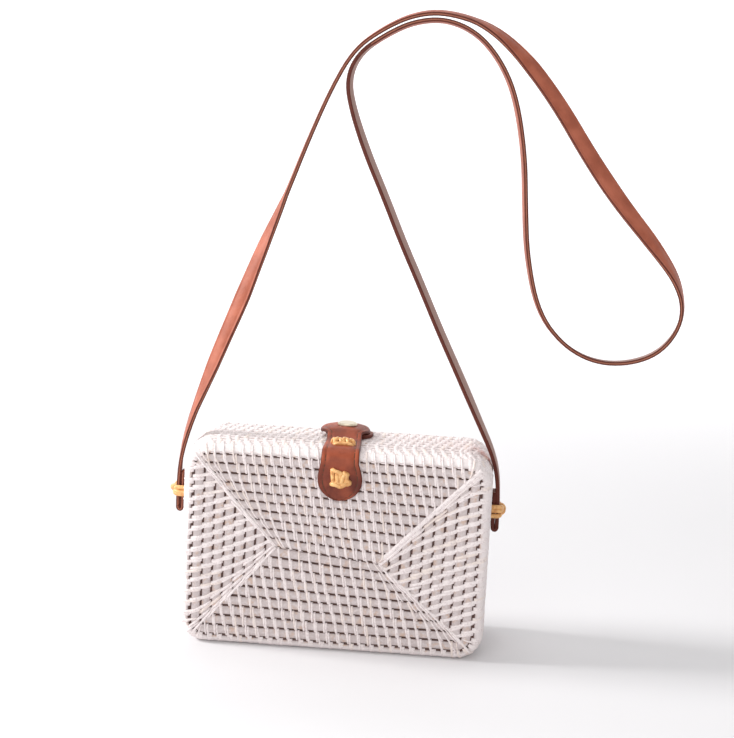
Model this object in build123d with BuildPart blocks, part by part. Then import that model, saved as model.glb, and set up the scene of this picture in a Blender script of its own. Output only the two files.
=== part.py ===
"""A box bag of white-washed woven rattan with a leather closure tab and a long leather shoulder strap.

The body is two woven trays, a shallow front one and a deeper back one, tied together along the bottom
with loops of rattan. A leather tab that is tied to the front tray reaches over the top and snaps onto a
leather tab of the back tray. The strap is folded at both ends and tied to the side walls of the back tray.

Millimetres. +Z is up, the front looks towards -Y, and +X is to the right of someone who looks at the front.
The origin is under the middle of the body, on the surface that the bag stands on.
"""

import os
from math import cos, radians, sin, tan

from build123d import *

# The woven body
bag_width = 190.0
bag_height = 128.0
bag_depth = 70.0
corner_radius = 16.0
side_bulge = 1.0
wall = 4.6
ridge_height = 1.3

# Rows of the weave: around the walls from front to back, and in rings on the front and back faces
depth_rows = 11
front_rows = 4
crest_share = 0.5
face_rows = 9
groove_width = 3.4
groove_floor = 1.5
eye_left = -36.0
eye_right = 28.0
eye_height = 61.0
gap_length = 3.0
gap_height = 1.0
gap_spacing = 17.0

# The seam and its rattan hinge ties
rim_gap = 0.3
opening_angle = 90.0
relief_angle = 2.5
tie_spacing = 60.0
tie_width = 5.0
tie_thickness = 0.9
tie_radius = 1.9
tie_clearance = 0.25
tie_lift = 0.2

# Leather tabs
leather = 2.0
seat_gap = 0.3
tab_center = 1.5
tab_half_width = 11.8
tab_end_radius = 13.2
tab_drop = 16.5
head_radius = 15.0
head_y = 13.5
back_head_radius = 15.5
back_head_offset = 2.5
back_head_shift = 2.0
fold_gap = 0.3

# The snap fastener
snap_y = 14.0
cap_radius = 6.3
cap_height = 1.3
shank_radius = 1.5
shank_clearance = 0.15
post_radius = 0.9
post_flange_radius = 4.0
socket_radius = 5.6
socket_height = 2.2
socket_roof = 0.5
stud_flange_radius = 4.8
stud_neck_radius = 2.0
stud_head_radius = 2.5
flange_thickness = 0.5
snap_gap = 0.1

# Rattan knots
strip_width = 2.3
strip_thickness = 1.0
strip_lift = 0.6
knot_gap = 0.1
leg_radius = 0.9
leg_clearance = 0.25
tab_legs = 4.4
face_knot_drop = 16.0
top_knot_y = -16.0
back_knot_drops = (22.0, 11.0)

# The strap
strap_width = 11.0
strap_thickness = 2.4
strap_y = 1.0
fold_slit = 0.3
fold_height = 77.3
fold_radius = 2.8
fold_hole = 0.6
fold_end_height = 103.0
side_knot_height = 89.5
left_standoff = 2.2
right_standoff = 0.5

os.makedirs("parts", exist_ok=True)

half_depth = bag_depth / 2
row_pitch = bag_depth / depth_rows
edge_radius = row_pitch
seam_y = -half_depth + front_rows * row_pitch
wall_x = bag_width / 2 + side_bulge
tab_end_height = bag_height - tab_drop
hinge_height = tie_radius + tie_thickness + tie_lift
tie_places = [-tie_spacing, 0, tie_spacing]
side_legs = strap_width / 2 + leg_radius + leg_clearance
tab_top = seat_gap + leather
socket_top = bag_height + tab_top + snap_gap + flange_thickness + snap_gap + socket_height
flap_under = socket_top + snap_gap


def finish(part, name):
    """Names a finished piece and writes it to its own file."""
    part.label = name
    export_step(part, f"parts/{name}.step")


def upright(y):
    """A plane that faces the front, at depth y, with X and Z as its own axes."""
    return Plane(origin=(0, y, 0), x_dir=(1, 0, 0), z_dir=(0, -1, 0))


def crest_width(y):
    """Width over the crests of the rows at depth y: the side walls stand out a little in the middle."""
    return bag_width + 2 * side_bulge * (1 - (y / half_depth) ** 2)


def wall_profile(rows):
    """Pairs of depth behind the face and inset from the crests, from the rounded edge row to the rim."""
    pairs = [(edge_radius * (1 - cos(radians(a))), edge_radius * (1 - sin(radians(a)))) for a in (0, 30, 60, 80)]
    pairs.append((row_pitch, ridge_height))
    slope = row_pitch * (1 - crest_share) / 2
    for row in range(1, rows):
        start = row * row_pitch
        pairs += [(start + slope, 0), (start + row_pitch - slope, 0), (start + row_pitch, ridge_height)]
    pairs[-1] = (rows * row_pitch - rim_gap / 2, ridge_height)
    return pairs


def face_ring(step):
    """Left, right, bottom and top of the groove that many rows in from the edge of a face."""
    share = step / face_rows
    half_width = bag_width / 2 - edge_radius
    left = -half_width + (eye_left + half_width) * share
    right = half_width + (eye_right - half_width) * share
    bottom = edge_radius + (eye_height - edge_radius) * share
    top = bag_height - edge_radius + (eye_height - bag_height + edge_radius) * share
    return left, right, bottom, top


def ring_outline(step, spread, mode):
    """Draws a ring's outline, moved outwards by spread. The outer rows are rounded, the others mitred."""
    left, right, bottom, top = face_ring(step)
    middle_radius = corner_radius - edge_radius - step * row_pitch
    width, height = right - left + 2 * spread, top - bottom + 2 * spread
    with Locations(((left + right) / 2, (bottom + top) / 2)):
        if middle_radius > groove_width / 2:
            RectangleRounded(width, height, middle_radius + spread, mode=mode)
        else:
            Rectangle(width, height, mode=mode)


def face_grooves(face_y, inward):
    """The grooves between the rows of a face: rings that shrink to the eye, a short line near the middle."""
    slant = (groove_width - groove_floor) / 2
    with BuildPart() as grooves:
        for step in range(face_rows + 1):
            for depth, edge in ((0, groove_width / 2), (ridge_height, groove_width / 2 - slant)):
                with BuildSketch(upright(face_y + inward * depth)):
                    ring_outline(step, edge, Mode.ADD)
                    if step < face_rows:
                        ring_outline(step, -edge, Mode.SUBTRACT)
            loft(ruled=True)
    return grooves.part


def weave_gaps():
    """Gaps between stitches, where the light shows through the long sides of the front rings."""
    with BuildSketch(upright(-half_depth)) as gaps:
        for step in range(1, face_rows + 1):
            left, right, bottom, top = face_ring(step)
            run = right - left - 2 * gap_length
            count = int(run / gap_spacing) + 1
            heights = [bottom, top] if step < face_rows else [eye_height]
            shift = gap_spacing * (step % 3 - 1) / 3
            for height in heights:
                with Locations(((left + right) / 2 + shift / 2, height)):
                    with GridLocations(run / count, 1, count, 1):
                        Rectangle(gap_length, gap_height)
    return gaps.sketch


def leg_places(spread):
    """Both legs of a knot, either side of its middle."""
    return [(-spread, 0), (spread, 0)]


def leg_holes(plane, spread, outside, depth):
    """Holes for the legs of a knot, from outside the plane down to that depth behind it."""
    with BuildSketch(plane.offset(outside)) as holes:
        with Locations(*leg_places(spread)):
            Circle(leg_radius + leg_clearance)
    extrude(holes.sketch, amount=-(outside + depth), mode=Mode.SUBTRACT)


def woven_tray(front, rows, knots):
    """One half of the body: rows around the walls, rings on the face, an open rim at the seam."""
    inward = 1 if front else -1
    face_y = -inward * half_depth
    rim_y = seam_y - inward * rim_gap / 2
    grooves = face_grooves(face_y, inward)
    with BuildPart() as tray:
        for depth, inset in wall_profile(rows):
            y = face_y + inward * depth
            with BuildSketch(upright(y)):
                with Locations((0, bag_height / 2)):
                    RectangleRounded(crest_width(y) - 2 * inset, bag_height - 2 * inset, corner_radius - inset)
        loft(ruled=True)
        with BuildSketch(upright(rim_y)):
            with Locations((0, bag_height / 2)):
                RectangleRounded(bag_width - 2 * wall, bag_height - 2 * wall, corner_radius - wall)
        extrude(amount=inward * (abs(rim_y - face_y) - wall), mode=Mode.SUBTRACT)
        add(grooves, mode=Mode.SUBTRACT)
        if front:
            extrude(weave_gaps(), amount=-2 * wall, mode=Mode.SUBTRACT)
        for plane, spread in knots:
            leg_holes(plane, spread, leg_radius, wall + side_bulge + leg_radius)

        # Below the hinge line both rims slope away, so that the trays can swing apart
        reach = (hinge_height + wall) * tan(radians(opening_angle / 2 + relief_angle))
        with BuildSketch(Plane.YZ):
            with BuildLine():
                Polyline(
                    (seam_y, hinge_height),
                    (seam_y, -wall),
                    (seam_y - inward * reach, -wall),
                    close=True,
                )
            make_face()
        extrude(amount=wall_x, both=True, mode=Mode.SUBTRACT)
        for x in tie_places:
            with BuildSketch(Plane.YZ.offset(x)):
                with Locations((seam_y, hinge_height)):
                    Circle(tie_radius + tie_thickness + tie_clearance)
                    Circle(tie_radius - tie_clearance, mode=Mode.SUBTRACT)
            extrude(amount=tie_width / 2 + tie_clearance, both=True, mode=Mode.SUBTRACT)
    return tray.part


# Where the knots sit: each plane lies on the crests, at the middle of its knot
face_knot_plane = Plane(origin=(tab_center, -half_depth, bag_height - face_knot_drop), x_dir=(1, 0, 0), z_dir=(0, -1, 0))
top_knot_plane = Plane(origin=(tab_center, top_knot_y, bag_height), x_dir=(1, 0, 0), z_dir=(0, 0, 1))
back_knot_planes = [
    Plane(origin=(tab_center, half_depth, bag_height - drop), x_dir=(-1, 0, 0), z_dir=(0, 1, 0))
    for drop in back_knot_drops
]
left_knot_plane = Plane(origin=(-wall_x, strap_y, side_knot_height), x_dir=(0, -1, 0), z_dir=(-1, 0, 0))
right_knot_plane = Plane(origin=(wall_x, strap_y, side_knot_height), x_dir=(0, 1, 0), z_dir=(1, 0, 0))

front_shell = woven_tray(True, front_rows, [(face_knot_plane, tab_legs), (top_knot_plane, tab_legs)])
finish(front_shell, "front_shell")

back_knots = [(plane, tab_legs) for plane in back_knot_planes]
side_knots = [(left_knot_plane, side_legs), (right_knot_plane, side_legs)]
back_shell = woven_tray(False, depth_rows - front_rows, back_knots + side_knots)
finish(back_shell, "back_shell")

# Loops of flat rattan around both bottom rims: the hinge
for number, x in enumerate(tie_places, start=1):
    with BuildPart() as hinge_tie:
        with BuildSketch(Plane.YZ.offset(x)):
            with Locations((seam_y, hinge_height)):
                Circle(tie_radius + tie_thickness)
                Circle(tie_radius, mode=Mode.SUBTRACT)
        extrude(amount=tie_width / 2, both=True)
    finish(hinge_tie.part, f"hinge_tie_{number}")


def leather_bend(side, end_y):
    """A leather strip seen from the side: up a face, round the edge row and along the top to end_y."""
    arc_y, arc_z = side * (half_depth - edge_radius), bag_height - edge_radius
    lowest = tab_end_height - 2 * tab_end_radius
    ends = []
    for radius in (edge_radius + seat_gap, edge_radius + seat_gap + leather):
        lean = radius * sin(radians(45))
        ends.append((arc_y + side * radius, lowest, arc_y + side * lean, arc_z + lean, arc_z + radius))
    (in_y, _, in_mid_y, in_mid_z, in_top), (out_y, _, out_mid_y, out_mid_z, out_top) = ends
    with BuildSketch(Plane.YZ) as bend:
        with BuildLine():
            Polyline((arc_y, in_top), (end_y, in_top), (end_y, out_top), (arc_y, out_top))
            ThreePointArc((arc_y, out_top), (out_mid_y, out_mid_z), (out_y, arc_z))
            Polyline((out_y, arc_z), (out_y, lowest), (in_y, lowest), (in_y, arc_z))
            ThreePointArc((in_y, arc_z), (in_mid_y, in_mid_z), (arc_y, in_top))
        make_face()
    extrude(bend.sketch, amount=2 * head_radius, both=True)


def tab_outline(top_half_width):
    """Cuts a leather strip to the tab's front view: a round lower end, a slight waist, and its width on top."""
    waist_z = bag_height - edge_radius
    with BuildSketch(upright(0)) as front_view:
        with Locations((tab_center, tab_end_height)):
            Circle(tab_end_radius)
        with BuildLine():
            Polyline(
                (tab_center - tab_end_radius, tab_end_height),
                (tab_center - tab_half_width, waist_z),
                (tab_center - tab_half_width, bag_height),
                (tab_center + tab_half_width, bag_height),
                (tab_center + tab_half_width, waist_z),
                (tab_center + tab_end_radius, tab_end_height),
                close=True,
            )
        make_face()
        with Locations((tab_center, bag_height + head_radius)):
            Rectangle(2 * top_half_width, 2 * head_radius)
    extrude(front_view.sketch, amount=bag_depth, both=True, mode=Mode.INTERSECT)


def head_outline(center, radius, shift, neck_end):
    """Cuts a leather strip to the tab's top view: a round head with the snap in it, on a narrower neck."""
    with BuildSketch(Plane.XY.offset(bag_height - bag_depth)) as top_view:
        with Locations((tab_center + shift, center)):
            Circle(radius)
        with Locations((tab_center, (center + neck_end) / 2)):
            Rectangle(2 * tab_half_width, abs(neck_end - center))
    extrude(top_view.sketch, amount=2 * bag_depth, mode=Mode.INTERSECT)


# The front tab: tied to the front tray by two knots, it ends at the fold of its flap
with BuildPart() as closure_tab:
    leather_bend(-1, seam_y)
    tab_outline(tab_half_width)
    leg_holes(face_knot_plane, tab_legs, tab_top, wall)
    leg_holes(top_knot_plane, tab_legs, tab_top, wall)
finish(closure_tab.part, "closure_tab")

# The flap: the free end of the same leather, lifted off the back tab by the snap between them
flap_start = seam_y + fold_gap
rise_end = snap_y - socket_radius
with BuildPart() as closure_flap:
    with BuildSketch(Plane.YZ):
        with BuildLine():
            Polyline(
                (flap_start, bag_height + seat_gap),
                (rise_end, flap_under),
                (head_y + head_radius, flap_under),
                (head_y + head_radius, flap_under + leather),
                (rise_end, flap_under + leather),
                (flap_start, bag_height + tab_top),
                close=True,
            )
        make_face()
    extrude(amount=2 * head_radius, both=True)
    head_outline(head_y, head_radius, 0, flap_start)
    with BuildSketch(Plane.XY.offset(flap_under)):
        with Locations((tab_center, snap_y)):
            Circle(shank_radius + shank_clearance)
    extrude(amount=leather, mode=Mode.SUBTRACT)
finish(closure_flap.part, "closure_flap")

# The back tab: tied to the back face, over the top, with the stud in its head
back_head_y = snap_y + back_head_offset
with BuildPart() as back_tab:
    leather_bend(1, back_head_y - back_head_radius)
    tab_outline(back_head_radius + back_head_shift)
    head_outline(back_head_y, back_head_radius, back_head_shift, bag_depth)
    for plane in back_knot_planes:
        leg_holes(plane, tab_legs, tab_top, wall)
    with BuildSketch(Plane.XY.offset(bag_height)):
        with Locations((tab_center, snap_y)):
            Circle(post_radius + shank_clearance)
    extrude(amount=tab_top, mode=Mode.SUBTRACT)
    with BuildSketch(Plane.XY.offset(bag_height)):
        with Locations((tab_center, snap_y)):
            Circle(post_flange_radius + shank_clearance)
    extrude(amount=seat_gap + flange_thickness + snap_gap, mode=Mode.SUBTRACT)
finish(back_tab.part, "back_tab")


def turned(points):
    """A metal piece turned about the snap's axis, from its radius and height points."""
    with BuildSketch(Plane(origin=(tab_center, snap_y, 0), x_dir=(1, 0, 0), z_dir=(0, -1, 0))) as half:
        with BuildLine():
            Polyline(*points, close=True)
        make_face()
    revolve(half.sketch, axis=Axis((tab_center, snap_y, 0), (0, 0, 1)))


cap_base = flap_under + leather + snap_gap
socket_bottom = socket_top - socket_height
socket_ceiling = socket_top - socket_roof
stud_base = bag_height + tab_top + snap_gap
stud_neck_base = stud_base + flange_thickness
stud_top = socket_ceiling - snap_gap
stud_shoulder = (stud_neck_base + stud_top) / 2
post_base = bag_height + seat_gap
post_bore_top = stud_top - flange_thickness

# The cap, with its shank through the flap into the socket's roof
with BuildPart() as snap_cap:
    turned(
        [
            (0, socket_ceiling),
            (shank_radius, socket_ceiling),
            (shank_radius, cap_base),
            (cap_radius, cap_base),
            (cap_radius, cap_base + cap_height / 2),
            (cap_radius * 0.8, cap_base + cap_height),
            (0, cap_base + cap_height),
        ]
    )
finish(snap_cap.part, "snap_cap")

with BuildPart() as snap_socket:
    turned(
        [
            (stud_head_radius + snap_gap, socket_bottom),
            (socket_radius, socket_bottom),
            (socket_radius, socket_top),
            (shank_radius + shank_clearance, socket_top),
            (shank_radius + shank_clearance, socket_ceiling),
            (stud_head_radius + snap_gap, socket_ceiling),
        ]
    )
finish(snap_socket.part, "snap_socket")

# The stud, with a bore for the post that rivets it to the back tab
with BuildPart() as snap_stud:
    turned(
        [
            (post_radius + shank_clearance, stud_base),
            (stud_flange_radius, stud_base),
            (stud_flange_radius, stud_neck_base),
            (stud_neck_radius, stud_neck_base),
            (stud_neck_radius, stud_shoulder - flange_thickness / 2),
            (stud_head_radius, stud_shoulder),
            (stud_neck_radius, stud_top),
            (0, stud_top),
            (0, post_bore_top),
            (post_radius + shank_clearance, post_bore_top),
        ]
    )
finish(snap_stud.part, "snap_stud")

with BuildPart() as snap_post:
    turned(
        [
            (0, post_base),
            (post_flange_radius, post_base),
            (post_flange_radius, post_base + flange_thickness),
            (post_radius, post_base + flange_thickness),
            (post_radius, post_bore_top - snap_gap),
            (0, post_bore_top - snap_gap),
        ]
    )
finish(snap_post.part, "snap_post")


def rattan_knot(plane, spread, base, depth, strips):
    """Flat strips that cross over what they hold, two legs through the wall, and a turn inside that joins them.

    Each strip is its layer and the two ends of its middle line, on the plane.
    """
    crossings = [(0, (-spread, 0), (spread, 0))] + strips
    with BuildPart() as knot:
        for layer, start, end in crossings:
            middle_line = Vector(*end) - Vector(*start)
            with BuildSketch(plane.offset(base + layer * strip_lift)):
                with Locations(Vector(*start) + middle_line * 0.5):
                    Rectangle(
                        middle_line.length + strip_width,
                        strip_width,
                        rotation=Vector(1, 0).get_signed_angle(middle_line),
                    )
            extrude(amount=strip_thickness)
        with BuildSketch(plane.offset(base + strip_thickness / 2)):
            with Locations(*leg_places(spread)):
                RegularPolygon(leg_radius, 6)
        extrude(amount=-(base + depth + knot_gap + strip_thickness))
        with BuildSketch(plane.offset(-(depth + knot_gap))):
            Rectangle(2 * spread + strip_width, strip_width)
        extrude(amount=-strip_thickness)
    return knot.part


tab_base = tab_top + knot_gap
face_strips = [
    (1, (-5.0, 5.0), (-4.2, -3.6)),
    (2, (-5.0, 5.0), (4.6, 2.6)),
    (1, (-4.6, -3.8), (5.6, -3.0)),
    (2, (1.0, 3.0), (4.4, -3.0)),
]
top_strips = [
    (1, (-6.8, -1.6), (-1.4, 1.8)),
    (2, (-3.8, 1.8), (1.0, -1.6)),
    (1, (-0.4, -1.6), (4.0, 1.8)),
    (2, (1.8, 1.8), (6.8, -1.4)),
]
back_strips = [
    (1, (-4.6, -2.6), (4.6, 2.6)),
    (2, (-4.6, 2.6), (4.6, -2.6)),
]
side_strips = [
    (1, (-side_legs, -3.0), (side_legs, 3.0)),
    (2, (-side_legs, 3.0), (side_legs, -3.0)),
    (3, (-2.4, 0), (2.4, 0)),
]

finish(rattan_knot(face_knot_plane, tab_legs, tab_base, wall, face_strips), "tab_knot_front")
finish(rattan_knot(top_knot_plane, tab_legs, tab_base, wall, top_strips), "tab_knot_top")
finish(rattan_knot(back_knot_planes[0], tab_legs, tab_base, wall, back_strips), "back_knot_lower")
finish(rattan_knot(back_knot_planes[1], tab_legs, tab_base, wall, back_strips), "back_knot_upper")

doubled = 2 * strap_thickness + fold_slit
for side, plane, standoff in (("left", left_knot_plane, left_standoff), ("right", right_knot_plane, right_standoff)):
    base = standoff + doubled + knot_gap
    knot = rattan_knot(plane, side_legs, base, wall + side_bulge, side_strips)
    finish(knot, f"strap_knot_{side}")

# The strap's middle line, seen from the front, from the left fold to the right one
left_outer = -(wall_x + left_standoff + doubled - strap_thickness / 2)
right_outer = wall_x + right_standoff + doubled - strap_thickness / 2
strap_route = [
    (left_outer, fold_height),
    (left_outer, 98),
    (-101.5, 117),
    (-96.5, 138),
    (-88.5, 160),
    (-78.5, 187),
    (-68, 213.5),
    (-56, 247),
    (-42.5, 280.5),
    (-31, 313),
    (-17.5, 347),
    (-4.5, 371.5),
    (13, 385),
    (31, 394),
    (50, 396.5),
    (76, 390),
    (99, 372),
    (121.5, 345),
    (142, 314.5),
    (163, 287),
    (187, 260.5),
    (203, 239),
    (207, 217),
    (195.5, 197),
    (176, 188),
    (154, 187.5),
    (134, 197),
    (117, 217),
    (108, 251),
    (105, 281),
    (102.5, 313),
    (95, 348),
    (84, 369.5),
    (69, 385),
    (50, 392),
    (31, 389.5),
    (14.5, 381),
    (-1, 369.5),
    (-7.5, 354),
    (-4, 336),
    (6.5, 309),
    (18.5, 284),
    (30.5, 257),
    (44, 229.5),
    (57, 202),
    (71, 174.5),
    (84.5, 147),
    (97.4, 121),
    (right_outer, 99),
    (right_outer, fold_height),
]


def route_radii(points):
    """The radius at each corner of the route: as large as its two runs allow."""
    radii = []
    for before, corner, after in zip(points, points[1:], points[2:]):
        run_in, run_out = Vector(*corner) - Vector(*before), Vector(*after) - Vector(*corner)
        turn = run_in.get_angle(run_out)
        radii.append(0.45 * min(run_in.length, run_out.length) / tan(radians(turn / 2)))
    return radii


strap_radii = route_radii(strap_route)
print("strap radii", [round(radius, 1) for radius in strap_radii])

with BuildPart() as strap:
    with BuildSketch(upright(strap_y)):
        with BuildLine() as strap_line:
            FilletPolyline(*strap_route, radius=strap_radii)
        trace(line_width=strap_thickness)
        for side, standoff in ((-1, left_standoff), (1, right_standoff)):
            slit_x = side * (wall_x + standoff + strap_thickness + fold_slit / 2)
            inner_x, slit_side = side * (wall_x + standoff), slit_x - side * fold_slit / 2
            with Locations((slit_x, fold_height)):
                Circle(fold_radius)
            with BuildLine():
                Polyline(
                    (inner_x, fold_height),
                    (slit_side, fold_height),
                    (slit_side, fold_end_height - strap_thickness),
                    (inner_x, fold_end_height),
                    close=True,
                )
            make_face()
            with Locations((slit_x, fold_height)):
                Circle(fold_hole, mode=Mode.SUBTRACT)
    extrude(amount=strap_width / 2, both=True)
finish(strap.part, "strap")

strap_length = strap_line.wires()[0].length
print("strap line", round(strap_length, 1), "volume check", round(strap.part.volume / (strap_width * strap_thickness), 1))
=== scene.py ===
"""A whitewashed rattan box bag with a leather closure and a long leather strap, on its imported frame."""
import random
from math import cos, pi, radians, sin, sqrt, tan

import bmesh
import bpy
from mathutils import Matrix, Vector, noise


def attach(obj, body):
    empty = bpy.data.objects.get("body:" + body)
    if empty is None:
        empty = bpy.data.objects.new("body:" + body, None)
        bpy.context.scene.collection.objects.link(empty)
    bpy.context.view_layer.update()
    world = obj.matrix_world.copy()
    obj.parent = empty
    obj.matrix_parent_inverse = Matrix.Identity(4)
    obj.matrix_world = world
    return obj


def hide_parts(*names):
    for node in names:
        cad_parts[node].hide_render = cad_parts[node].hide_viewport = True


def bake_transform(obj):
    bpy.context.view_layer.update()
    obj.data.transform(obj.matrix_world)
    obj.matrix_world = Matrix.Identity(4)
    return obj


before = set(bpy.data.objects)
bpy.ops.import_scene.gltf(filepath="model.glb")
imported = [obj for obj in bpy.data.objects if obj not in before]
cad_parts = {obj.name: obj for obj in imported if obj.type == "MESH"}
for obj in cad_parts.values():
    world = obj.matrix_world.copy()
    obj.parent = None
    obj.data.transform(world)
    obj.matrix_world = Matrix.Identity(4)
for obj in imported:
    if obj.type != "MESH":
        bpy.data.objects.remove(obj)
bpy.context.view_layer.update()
MM = 0.001
# Left alone, the vector noise starts from the clock, and the weave is another one on each run
noise.seed_set(7)

# The camera of the photograph: a long lens a little above the bag, turned slightly to its right and tilted.
# Its place was found from the edges of the woven body.
camera_azimuth = radians(3.44)
camera_elevation = radians(10.77)
camera_roll = radians(2.89)
camera_place = Vector((77.5, -1072.1, 379.0)) * MM

backwards = Vector((
    sin(camera_azimuth) * cos(camera_elevation),
    -cos(camera_azimuth) * cos(camera_elevation),
    sin(camera_elevation),
))
level_right = Vector((cos(camera_azimuth), sin(camera_azimuth), 0))
level_up = backwards.cross(level_right)
camera_right = cos(camera_roll) * level_right + sin(camera_roll) * level_up
camera_up = -sin(camera_roll) * level_right + cos(camera_roll) * level_up
camera_data = bpy.data.cameras.new("photo_camera")
camera_data.lens = 85.0
camera_data.sensor_width = 36.0
camera_data.clip_start = 0.05
camera = bpy.data.objects.new("photo_camera", camera_data)
turn = Matrix((camera_right, camera_up, backwards)).transposed()
camera.matrix_world = Matrix.Translation(camera_place) @ turn.to_4x4()
bpy.context.collection.objects.link(camera)
bpy.context.scene.camera = camera
bpy.context.scene.view_settings.view_transform = "Standard"


# Values of a material, written as plain sums. A finish is one material with its nodes and its shader.
class Value:
    def __init__(self, finish, socket):
        self.finish, self.socket = finish, socket

    def sum(self, operation, *others):
        node = self.finish.node("ShaderNodeMath", {"operation": operation}, self, *others)
        return Value(self.finish, node.outputs[0])

    def __add__(self, other):
        return self.sum("ADD", other)

    def __mul__(self, other):
        return self.sum("MULTIPLY", other)

    def step(self, low, high):
        """0 below low and 1 above high, with a soft rise between."""
        node = self.finish.node(
            "ShaderNodeMapRange", {"interpolation_type": "SMOOTHSTEP"}, self, low, high, 0.0, 1.0
        )
        return Value(self.finish, node.outputs[0])

    __radd__ = __add__
    __rmul__ = __mul__


class Finish:
    def __init__(self, name, roughness, **sockets):
        self.material = bpy.data.materials.new(name)
        self.material.use_nodes = True
        self.tree = self.material.node_tree
        self.shader = self.tree.nodes["Principled BSDF"]
        self.shader.inputs["Roughness"].default_value = roughness
        for socket, number in sockets.items():
            self.shader.inputs[socket.replace("_", " ")].default_value = number

    def node(self, kind, settings, *values, **named):
        node = self.tree.nodes.new(kind)
        for setting, value in settings.items():
            setattr(node, setting, value)
        for key, value in [*enumerate(values), *named.items()]:
            self.feed(node.inputs[key.replace("_", " ") if isinstance(key, str) else key], value)
        return node

    def feed(self, socket, value):
        if isinstance(value, Value):
            self.tree.links.new(value.socket, socket)
        elif value is not None:
            socket.default_value = value

    def attribute(self, name):
        return Value(self, self.node("ShaderNodeAttribute", {"attribute_name": name}).outputs["Fac"])

    def place(self):
        """Object coordinates."""
        return Value(self, self.node("ShaderNodeTexCoord", {}).outputs["Object"])

    def noise(self, place, scale, detail=2.0):
        node = self.node("ShaderNodeTexNoise", {}, Vector=place, Scale=scale, Detail=detail)
        return Value(self, node.outputs["Fac"])

    def mix(self, share, low, high):
        node = self.node("ShaderNodeMix", {"data_type": "RGBA"}, Factor=share)
        self.feed(node.inputs[6], low if isinstance(low, Value) else (*low, 1.0))
        self.feed(node.inputs[7], high if isinstance(high, Value) else (*high, 1.0))
        return Value(self, node.outputs[2])

    def color(self, value):
        self.feed(self.shader.inputs["Base Color"], value)

    def rough(self, value):
        self.feed(self.shader.inputs["Roughness"], value)

    def bump(self, height, depth, strength=1.0):
        node = self.node("ShaderNodeBump", {}, Strength=strength, Distance=depth, Height=height)
        self.feed(self.shader.inputs["Normal"], Value(self, node.outputs[0]))


def piece(name, mesh, *finishes):
    """An object of a mesh or a bmesh, at the origin, with its finishes."""
    if isinstance(mesh, bmesh.types.BMesh):
        bm, mesh = mesh, bpy.data.meshes.new(name)
        bm.to_mesh(mesh)
        bm.free()
    made = bpy.data.objects.new(name, mesh)
    bpy.context.collection.objects.link(made)
    for finish in finishes:
        mesh.materials.append(finish.material)
    mesh.shade_smooth()
    return made


def placed_grid(across, along, place):
    """A bmesh grid whose points are put in place one by one, by their numbers across and along."""
    bm = bmesh.new()
    bmesh.ops.create_grid(bm, x_segments=across, y_segments=along, size=1)
    for index, vert in enumerate(bm.verts):
        vert.co = place(index % (across + 1), index // (across + 1))
    return bm


# The table: a plain white surface that runs up to a white wall, with soft daylight from the upper left.
paper = Finish("white_paper", 0.9, Emission_Strength=0.6)
paper_place = paper.place()
paper.color(paper.mix(paper.noise(paper_place, 1.5), (0.72, 0.71, 0.72), (0.74, 0.73, 0.74)))
beyond = Value(paper, paper.node("ShaderNodeSeparateXYZ", {}, paper_place).outputs[1])
# Painted light: the paper glows on its own, hardly at all near the bag and brightly in front of it and up the
# wall.
painted_paper_glow = paper.mix(beyond.step(0.25, 1.6) + (beyond * -1).step(0.1, 0.7), (0.05, 0.05, 0.05), (0.97, 0.97, 0.98))
paper.feed(paper.shader.inputs["Emission Color"], painted_paper_glow)
table_reach, table_step, wall_distance, wall_turn = 6.0, 0.2, 2.2, 0.6


def table_place(i, j):
    x = (i / 2 - 1) * table_reach
    run = -table_reach + j * table_step
    if run < wall_distance:
        return Vector((x, run, 0))
    angle = min((run - wall_distance) / wall_turn, pi / 2)
    climb = max(run - wall_distance - wall_turn * pi / 2, 0)
    return Vector((x, wall_distance + wall_turn * sin(angle), wall_turn * (1 - cos(angle)) + climb))


table = piece("table", placed_grid(4, 62, table_place), paper)


light_aim = Vector((0, 0, 0.1))


def soft_light(name, place, size, power):
    data = bpy.data.lights.new(name, "AREA")
    data.shape, data.size, data.energy = "DISK", size, power
    light = bpy.data.objects.new(name, data)
    turn = (Vector(place) - light_aim).to_track_quat("Z", "Y")
    light.matrix_world = Matrix.Translation(place) @ turn.to_matrix().to_4x4()
    bpy.context.collection.objects.link(light)


soft_light("window", (-1.7, 0.0, 1.0), 0.62, 38)
soft_light("ceiling", (-0.1, 0.2, 2.0), 1.4, 8.5)
soft_light("room", (-0.5, -2.2, 0.95), 2.2, 20)
world = bpy.data.worlds.new("daylight")
world.use_nodes = True
world.node_tree.nodes["Background"].inputs["Color"].default_value = (1, 1, 1, 1)
world.node_tree.nodes["Background"].inputs["Strength"].default_value = 0.44
bpy.context.scene.world = world


# Leather: reddish brown, with a fine grain and dark burnished edges. Its colour is painted lighter from 106 to
# 126 mm up, as painted light from above where the closure bends over the top, and its creases are pressed in
# as rows of dots.
def leather_finish(name, low, high, pressed):
    made = Finish(name, 0.42, Specular_IOR_Level=0.32)
    grain_place = made.place()
    grain = made.noise(grain_place, 900.0, 3.0)
    # Painted light: from 106 to 126 mm up, every piece of this leather is coloured lighter, where light from
    # above falls on the bend.
    height = Value(made, made.node("ShaderNodeSeparateXYZ", {}, grain_place).outputs[2]).step(0.106, 0.126)
    tone_and_top_light = made.mix(made.noise(grain_place, 70.0, 4.0).step(0.36, 0.66) * 0.6 + height * 0.4, low, high)
    dots = made.attribute("crease").step(0.2, 0.8) * made.noise(grain_place, 620.0, 0.0).step(0.42, 0.52)
    made.color(made.mix(dots, tone_and_top_light, pressed))
    made.rough(0.36 + 0.25 * grain)
    made.bump(grain, 0.0002, 0.6)
    return made


leather = leather_finish("leather", (0.10, 0.015, 0.007), (0.38, 0.080, 0.032), (0.06, 0.03, 0.01))
strap_leather = leather_finish("strap_leather", (0.26, 0.060, 0.030), (0.43, 0.124, 0.070), (0.2, 0.05, 0.03))

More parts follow.
